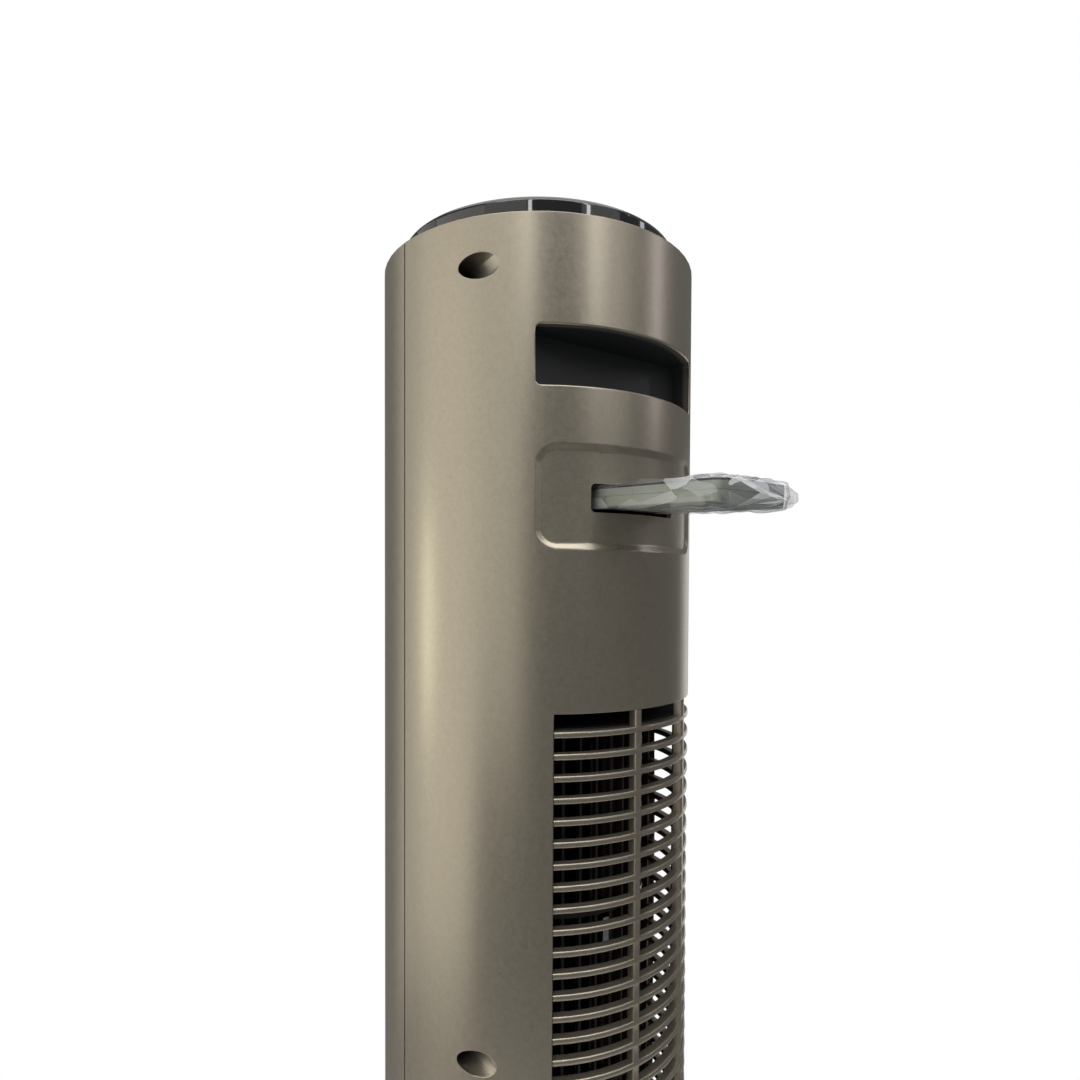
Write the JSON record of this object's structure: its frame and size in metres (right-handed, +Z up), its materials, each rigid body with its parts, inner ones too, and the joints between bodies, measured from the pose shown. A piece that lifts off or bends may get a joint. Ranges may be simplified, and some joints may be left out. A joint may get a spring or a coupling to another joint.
{
  "type": "tower fan",
  "caption": "Round column fan with a curved slatted intake, a carry handle and remote slot in its back, a cross-flow blower inside and a swinging foot on a round base.",
  "frame": {"origin": "centre of the round base, on the floor", "axes": "+Z up; +Y towards the back, where the intake grille, the handle and the remote slot are; -Y towards the air outlet"},
  "size_m": [0.3, 0.3, 1.093],
  "materials": {
    "champagne_shell": "satin metallic lacquer with a fine grain",
    "black_gloss": "polished",
    "black_plastic": "fine spark texture",
    "rubber": "matt",
    "steel": "zinc plated",
    "iron_weight": "blackened",
    "bronze": "sintered",
    "windings": "lacquered copper on laminated steel",
    "acetal": "natural white, smooth",
    "circuit": "solder mask",
    "smoked_window": "polished",
    "ir_red": "polished",
    "key_silver": "satin silver",
    "remote_silver": "grey-green silver lacquer",
    "clear_film": "clear, crinkled"
  },
  "bodies": {
    "base": {"base_cover": "black_gloss", "base_plate": "black_plastic", "base_weight": "iron_weight", "rubber_feet": "rubber", "base_screws": "steel", "pivot_post": "black_plastic", "fixed_gear": "acetal", "gear_screws": "steel", "glide_ring": "acetal", "cord_grommet": "rubber"},
    "tower": {"tower_foot": "black_plastic", "gear_plate": "steel", "swing_motor": "steel", "rear_shell": "champagne_shell", "front_shell": "champagne_shell", "front_grille": "black_plastic", "shell_screws": "steel", "scroll_wall": "black_plastic", "tongue": "black_plastic", "duct_floor": "black_plastic", "duct_roof": "black_plastic", "bush_mount": "rubber", "top_bush": "bronze", "motor_lower_can": "steel", "motor_upper_can": "steel", "stator": "windings", "motor_bushes": "bronze", "motor_dampers": "rubber", "motor_screws": "steel", "power_board": "circuit", "capacitor": "black_plastic", "wire_loom": "black_plastic", "top_cap": "black_gloss", "display_window": "smoked_window", "control_board": "circuit", "ir_lens": "ir_red", "remote_sleeve": "black_plastic"},
    "pinion": {"swing_pinion": "acetal"},
    "blower": {"motor_rotor": "steel", "motor_shaft": "steel", "wheel_hub": "steel", "blower_wheel": "black_plastic", "top_stub": "steel", "balance_clip": "steel"},
    "remote": {"remote_lower": "remote_silver", "remote_upper": "black_gloss", "remote_board": "circuit", "battery_tray": "black_plastic", "coin_cell": "steel", "remote_bag": "clear_film"},
    "power_button": {"power_button": "key_silver"},
    "speed_button": {"speed_button": "key_silver"},
    "swing_button": {"swing_button": "key_silver"},
    "timer_button": {"timer_button": "key_silver"},
    "mode_button": {"mode_button": "key_silver"},
    "remote_power_key": {"remote_power_key": "key_silver"},
    "remote_speed_key": {"remote_speed_key": "key_silver"},
    "remote_swing_key": {"remote_swing_key": "key_silver"},
    "remote_timer_key": {"remote_timer_key": "key_silver"}
  },
  "joints": [
    {"name": "oscillation", "type": "hinge", "parent": "base", "child": "tower", "pos_m": [0, 0, 0.05], "axis": [0, 0, 1], "range_deg": [-35, 35]},
    {"name": "pinion_spin", "type": "hinge", "parent": "tower", "child": "pinion", "pos_m": [0, 0.04375, 0.059], "axis": [0, 0, 1], "range_deg": [-141, 141]},
    {"name": "blower_spin", "type": "hinge", "parent": "tower", "child": "blower", "pos_m": [-0.009, 0, 0.5], "axis": [0, 0, 1], "continuous": true},
    {"name": "remote_pull", "type": "slide", "parent": "tower", "child": "remote", "axis": [0, 0.9988, -0.0497], "range_m": [0, 0.07]},
    {"name": "power_press", "type": "slide", "parent": "tower", "child": "power_button", "axis": [0, 0, -1], "range_m": [0, 0.0006], "stiffness_N_per_m": 600, "springref_m": -0.0005},
    {"name": "speed_press", "type": "slide", "parent": "tower", "child": "speed_button", "axis": [0, 0, -1], "range_m": [0, 0.0006], "stiffness_N_per_m": 600, "springref_m": -0.0005},
    {"name": "swing_press", "type": "slide", "parent": "tower", "child": "swing_button", "axis": [0, 0, -1], "range_m": [0, 0.0006], "stiffness_N_per_m": 600, "springref_m": -0.0005},
    {"name": "timer_press", "type": "slide", "parent": "tower", "child": "timer_button", "axis": [0, 0, -1], "range_m": [0, 0.0006], "stiffness_N_per_m": 600, "springref_m": -0.0005},
    {"name": "mode_press", "type": "slide", "parent": "tower", "child": "mode_button", "axis": [0, 0, -1], "range_m": [0, 0.0006], "stiffness_N_per_m": 600, "springref_m": -0.0005},
    {"name": "remote_power_press", "type": "slide", "parent": "remote", "child": "remote_power_key", "axis": [0, -0.0497, -0.9988], "range_m": [0, 0.0004], "stiffness_N_per_m": 300, "springref_m": -0.0005},
    {"name": "remote_speed_press", "type": "slide", "parent": "remote", "child": "remote_speed_key", "axis": [0, -0.0497, -0.9988], "range_m": [0, 0.0004], "stiffness_N_per_m": 300, "springref_m": -0.0005},
    {"name": "remote_swing_press", "type": "slide", "parent": "remote", "child": "remote_swing_key", "axis": [0, -0.0497, -0.9988], "range_m": [0, 0.0004], "stiffness_N_per_m": 300, "springref_m": -0.0005},
    {"name": "remote_timer_press", "type": "slide", "parent": "remote", "child": "remote_timer_key", "axis": [0, -0.0497, -0.9988], "range_m": [0, 0.0004], "stiffness_N_per_m": 300, "springref_m": -0.0005}
  ],
  "couplings": [
    {"joint": "pinion_spin", "follows": "oscillation", "ratio": 4}
  ]
}
